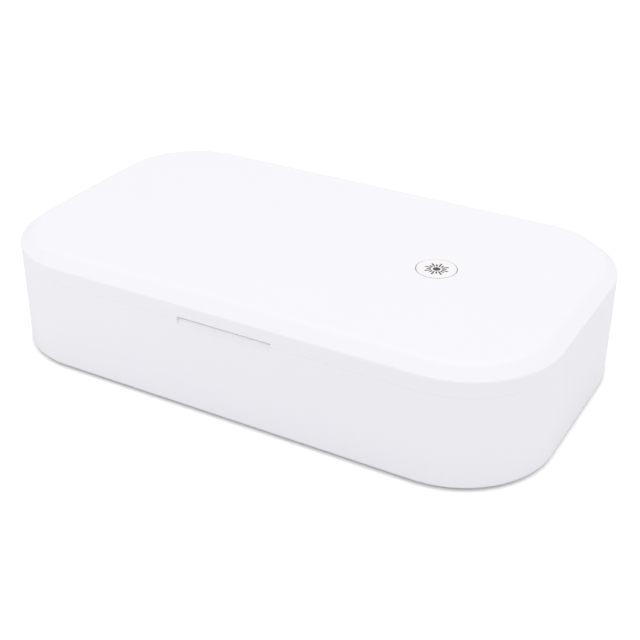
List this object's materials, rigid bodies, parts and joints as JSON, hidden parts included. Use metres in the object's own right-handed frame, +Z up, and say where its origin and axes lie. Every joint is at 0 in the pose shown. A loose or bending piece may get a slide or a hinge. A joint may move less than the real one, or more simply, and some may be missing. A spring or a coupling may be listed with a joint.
{
  "type": "phone sanitizer box",
  "caption": "Flat rounded box for disinfecting a phone with ultraviolet lamps: hinged lid with a sloped rim, flush round push button, finger notch in front, mirrored tray inside.",
  "frame": {"origin": "on the surface the feet stand on, under the centre of the box", "axes": "+X to the right along the long side, +Y to the back where the hinge is, +Z up; the finger notch faces -Y"},
  "size_m": [0.222, 0.127, 0.0477],
  "materials": {
    "white_shell": "satin moulded plastic",
    "white_button": "satin moulded plastic",
    "mirror_lining": "vacuum-metallised plastic",
    "grey_rubber": "matt",
    "clear_silicone": "matt, milky",
    "steel": "plain",
    "nickel": "plated",
    "green_board": "solder mask",
    "white_board": "white solder mask",
    "lamp_ceramic": "ceramic",
    "quartz": "clear",
    "black_plastic": "moulded",
    "grey_ferrite": "sintered",
    "aluminium_can": "drawn",
    "lead_jacket": "smooth jacket"
  },
  "bodies": {
    "base": {"base_hinge_lead": "lead_jacket", "base_screw_front_left": "steel", "base_screw_front_right": "steel", "base_screw_rear_left": "steel", "base_screw_rear_right": "steel", "base_shell": "white_shell", "capacitor": "aluminium_can", "catch_plate_left": "steel", "catch_plate_right": "steel", "driver_chip": "black_plastic", "foot_front_left": "grey_rubber", "foot_front_right": "grey_rubber", "foot_rear_left": "grey_rubber", "foot_rear_right": "grey_rubber", "hinge_bush_left": "steel", "hinge_pin_right": "steel", "inductor": "grey_ferrite", "lid_sensor": "black_plastic", "lid_sensor_lead": "lead_jacket", "lower_strip_lead": "lead_jacket", "main_board": "green_board", "main_board_screw_left": "steel", "main_board_screw_right": "steel", "phone_tray": "mirror_lining", "strip_screw_lower_left": "steel", "strip_screw_lower_right": "steel", "tray_frame": "white_shell", "tray_seal": "clear_silicone", "usb_c_shell": "nickel", "usb_c_tongue": "black_plastic", "uv_lamp_lower_1": "lamp_ceramic", "uv_lamp_lower_2": "lamp_ceramic", "uv_lamp_lower_3": "lamp_ceramic", "uv_lamp_lower_4": "lamp_ceramic", "uv_strip_lower": "white_board", "uv_window_lower": "quartz"},
    "lid": {"control_board": "green_board", "control_board_screw_left": "steel", "control_board_screw_right": "steel", "lid_hinge_lead": "lead_jacket", "lid_liner": "mirror_lining", "lid_magnet_left": "nickel", "lid_magnet_right": "nickel", "lid_screw_front_left": "steel", "lid_screw_front_right": "steel", "lid_screw_rear_left": "steel", "lid_screw_rear_right": "steel", "lid_shell": "white_shell", "strip_screw_upper_left": "steel", "strip_screw_upper_right": "steel", "switch_body": "black_plastic", "upper_strip_lead": "lead_jacket", "uv_lamp_upper_1": "lamp_ceramic", "uv_lamp_upper_2": "lamp_ceramic", "uv_lamp_upper_3": "lamp_ceramic", "uv_lamp_upper_4": "lamp_ceramic", "uv_strip_upper": "white_board", "uv_window_upper": "quartz"},
    "button": {"power_button": "white_button"},
    "plunger": {"switch_plunger": "grey_rubber"}
  },
  "joints": [
    {"name": "lid_hinge", "type": "hinge", "parent": "base", "child": "lid", "pos_m": [0, 0.0605, 0.0262], "axis": [-1, 0, 0], "range_deg": [0, 100]},
    {"name": "button_press", "type": "slide", "parent": "lid", "child": "button", "axis": [0, 0, -1], "range_m": [0, 0.0005], "stiffness_N_per_m": 400, "springref_m": -0.001},
    {"name": "plunger_press", "type": "slide", "parent": "lid", "child": "plunger", "axis": [0, 0, -1], "range_m": [0, 0.0005]}
  ],
  "couplings": [
    {"joint": "plunger_press", "follows": "button_press", "ratio": 1}
  ]
}
